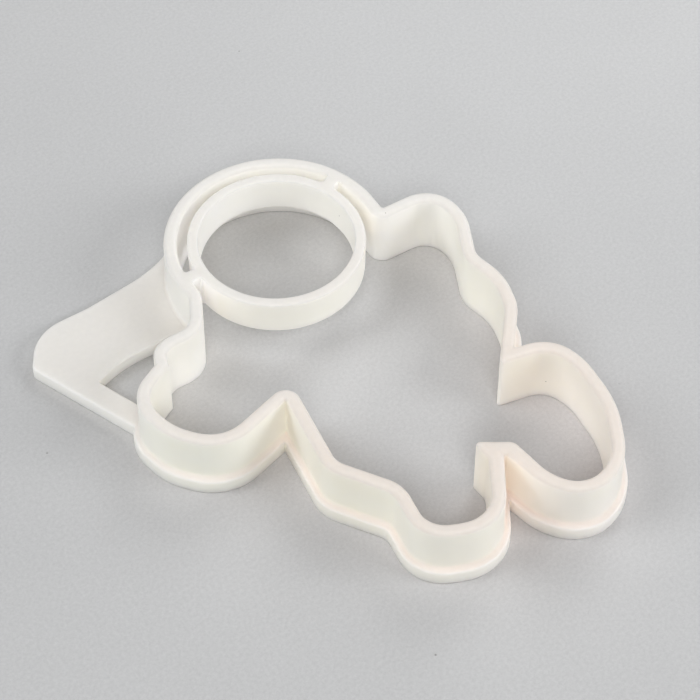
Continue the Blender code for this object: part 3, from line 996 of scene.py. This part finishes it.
table = add_object("table", table_mesh("table", TABLE_SIZE))
table.data.materials.append(matt_board("matt_grey_board"))
table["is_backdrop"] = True
print("table", TABLE_SIZE, "m wide")

# %% [markdown]
# Soft studio light
#
# Small goods are usually lit by a few large soft lamps. A picture of a studio on the world could light
# them too, but lamps can be moved and dimmed one by one. Here a high one stands behind the camera and one
# on the left with a low one beside it. Two nearer ones, on the right and behind, make the far right of
# the table a little brighter. So each wall throws wide pale shadows to both sides and no side is dark.
# Together with a faint even sky they light a level surface at about full strength, so that a colour
# renders as it is written. Light bounces many times between pale walls that stand close together, so
# more bounces than usual are followed.

# %% Set the lamps and the sky
LAMP_SPREAD = 0.5
LAMPS = (
    # name, azimuth, angle above the table, distance, share of full light on a level surface
    ("front_lamp", radians(235.0), radians(48.0), 6.0, 0.345),
    ("left_lamp", radians(143.0), radians(48.0), 2.0, 0.20),
    ("low_left_lamp", radians(160.0), radians(28.0), 3.0, 0.11),
    ("right_lamp", radians(311.0), radians(28.0), 1.5, 0.23),
    ("back_lamp", radians(30.0), radians(40.0), 0.6, 0.185),
)
SKY_COLOR = (1.0, 1.0, 1.0, 1.0)
SKY_STRENGTH = 0.03
LIGHT_BOUNCES = 12


def soft_lamp(name, azimuth, height_angle, distance, share):
    """Square lamp that looks at the middle of the table and gives this share of full light."""
    data = bpy.data.lights.new(name, "AREA")
    data.shape = "SQUARE"
    data.size = LAMP_SPREAD * distance
    data.energy = share * (pi * distance) ** 2 / sin(height_angle)
    lamp = bpy.data.objects.new(name, data)
    bpy.context.scene.collection.objects.link(lamp)
    level = polar(cos(height_angle), azimuth)
    direction = Vector((level.x, level.y, sin(height_angle)))
    lamp.location = direction * distance
    lamp.rotation_euler = direction.to_track_quat("Z", "Y").to_euler()
    print(name, round(data.energy, 2), "W")


for lamp_facts in LAMPS:
    soft_lamp(*lamp_facts)
world = bpy.data.worlds.new("studio")
world.use_nodes = True
sky = world.node_tree.nodes["Background"]
sky.inputs["Color"].default_value = SKY_COLOR
sky.inputs["Strength"].default_value = SKY_STRENGTH
bpy.context.scene.world = world
bpy.context.scene.view_settings.view_transform = "Standard"
bpy.context.scene.cycles.diffuse_bounces = LIGHT_BOUNCES

# %% [markdown]
# The camera
#
# A long lens looks down at about fifty degrees from the left front. It could be moved by eye until the
# picture fits, but a circle is seen as an ellipse that tells the way it is looked at. So the place was
# worked out from the circles of the yolk ring.

# %% Place the camera
FOCAL_LENGTH = 124.94
SENSOR_WIDTH = 36.0
CAMERA_PLACE = (-0.22466, -0.30346, 0.4753)
CAMERA_TILT = radians(39.64)
CAMERA_TURN = radians(-37.0)

lens = bpy.data.cameras.new("camera")
lens.lens = FOCAL_LENGTH
lens.sensor_width = SENSOR_WIDTH
lens.sensor_fit = "HORIZONTAL"
camera = bpy.data.objects.new("camera", lens)
camera.location = CAMERA_PLACE
camera.rotation_euler = (CAMERA_TILT, 0.0, CAMERA_TURN)
bpy.context.scene.collection.objects.link(camera)
bpy.context.scene.camera = camera
print("camera", round(Vector(CAMERA_PLACE).length, 2), "m away, focal length", FOCAL_LENGTH, "mm")

# %% [markdown]
# Sizes of the skin and the frame
#
# The visible skin has to fill the same box as the CAD solids, so both boxes are printed side by side.

# %% Print the sizes of both boxes
visual_box = [list(corner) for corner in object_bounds()]
for title, box in (("cad", cad_box), ("visual", visual_box)):
    print(title, [round((box[1][i] - box[0][i]) / MM, 2) for i in range(3)])
